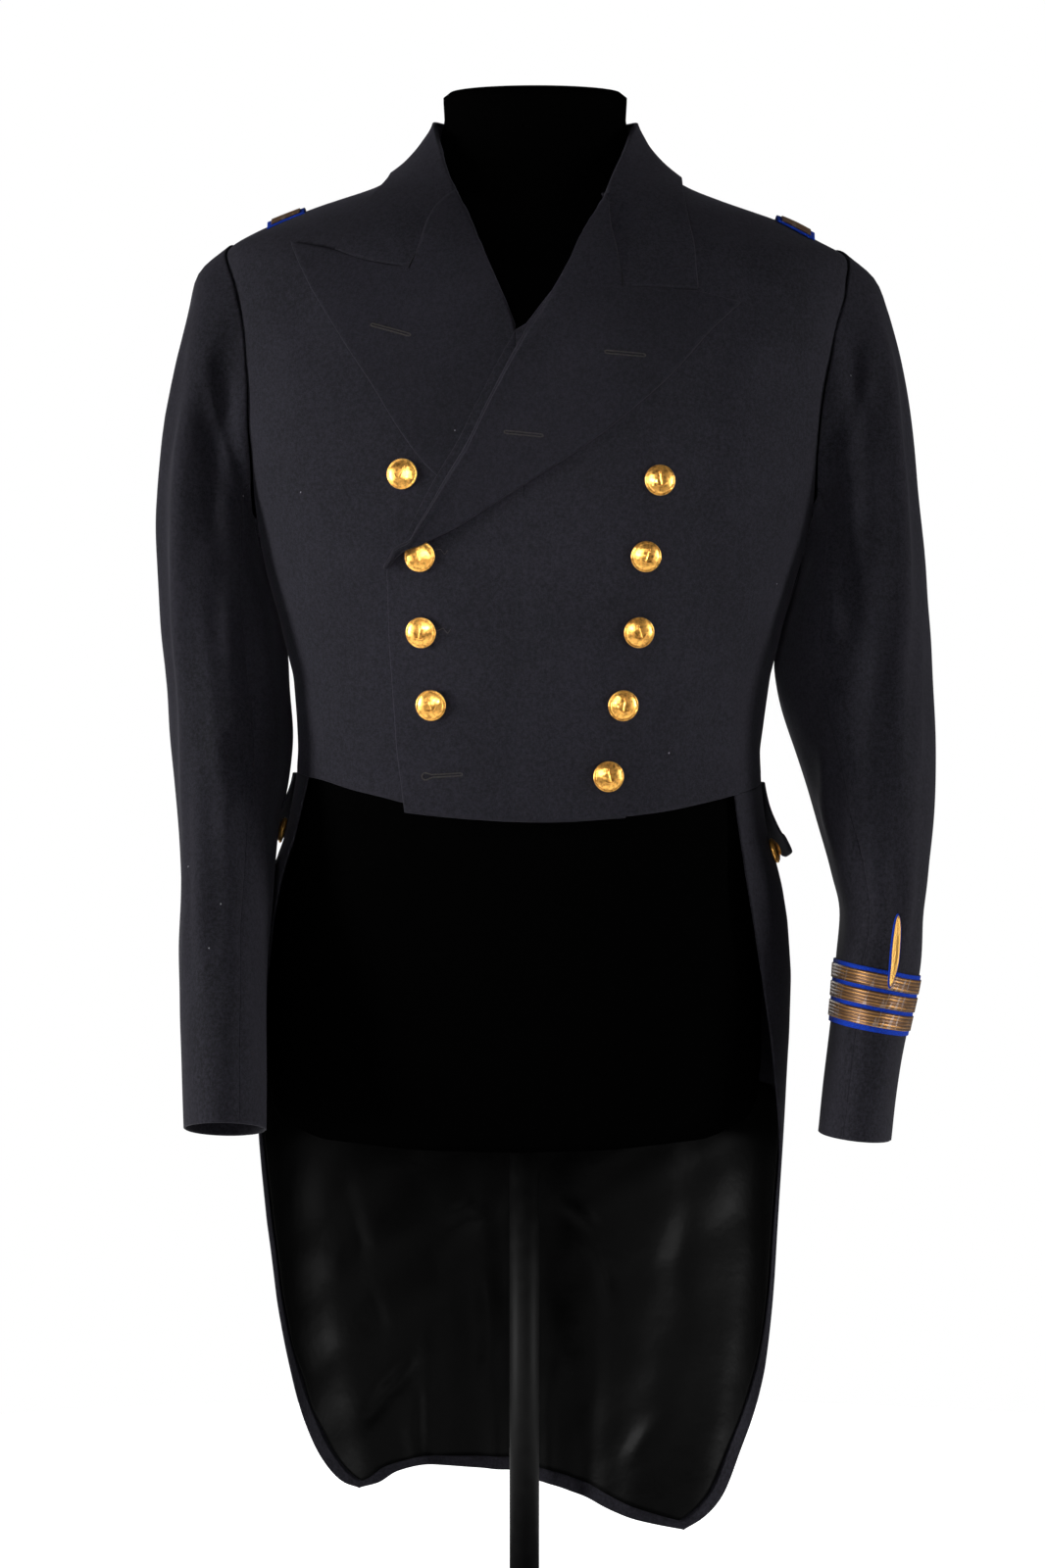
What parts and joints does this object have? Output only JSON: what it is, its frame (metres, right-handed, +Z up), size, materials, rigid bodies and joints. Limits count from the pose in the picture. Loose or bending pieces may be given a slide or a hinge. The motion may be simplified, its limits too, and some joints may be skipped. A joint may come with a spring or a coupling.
{
  "type": "naval dress tailcoat on a limbless dress form",
  "caption": "Double-breasted naval tailcoat with peaked lapels, shoulder loops and rank lace, worn by a limbless dress form on a pole and round base.",
  "frame": {"origin": "middle of the underside of the stand's base", "axes": "+Z up, the coat's front faces -Y and the wearer's left is +X"},
  "size_m": [0.5747, 0.31, 1.151],
  "materials": {
    "wool": "matt navy wool with a fine nap",
    "lapel_wool": "darker navy wool facing",
    "satin": "black satin lining",
    "velvet": "black matt velvet",
    "gilt": "bright gilt",
    "lace": "woven metallic lace, worn gold",
    "edging": "royal blue cloth",
    "enamel": "black satin paint"
  },
  "bodies": {
    "root": {"dress_form": "velvet", "stand_base": "enamel", "stand_pole": "enamel", "front_left": "wool", "overlap_left": "wool", "front_right": "wool", "lapel_left": "lapel_wool", "lapel_right": "lapel_wool", "collar_fall": "wool", "collar_stand": "wool", "back_left": "wool", "side_body_left": "wool", "tail_left": "wool", "top_sleeve_left": "wool", "under_sleeve_left": "wool", "pocket_flap_left": "wool", "tail_lining_left": "satin", "shoulder_loop_left": "edging", "loop_lace_left": "lace", "hip_button_left": "gilt", "back_right": "wool", "side_body_right": "wool", "tail_right": "wool", "top_sleeve_right": "wool", "under_sleeve_right": "wool", "pocket_flap_right": "wool", "tail_lining_right": "satin", "shoulder_loop_right": "edging", "loop_lace_right": "lace", "hip_button_right": "gilt", "button_left_1": "gilt", "button_left_2": "gilt", "button_left_3": "gilt", "button_left_4": "gilt", "button_left_5": "gilt", "button_right_1": "gilt", "button_right_2": "gilt", "button_right_3": "gilt", "button_right_4": "gilt", "rank_backing": "edging", "rank_band_1": "lace", "rank_band_2": "lace", "rank_band_3": "lace", "rank_curl": "lace"}
  },
  "joints": []
}
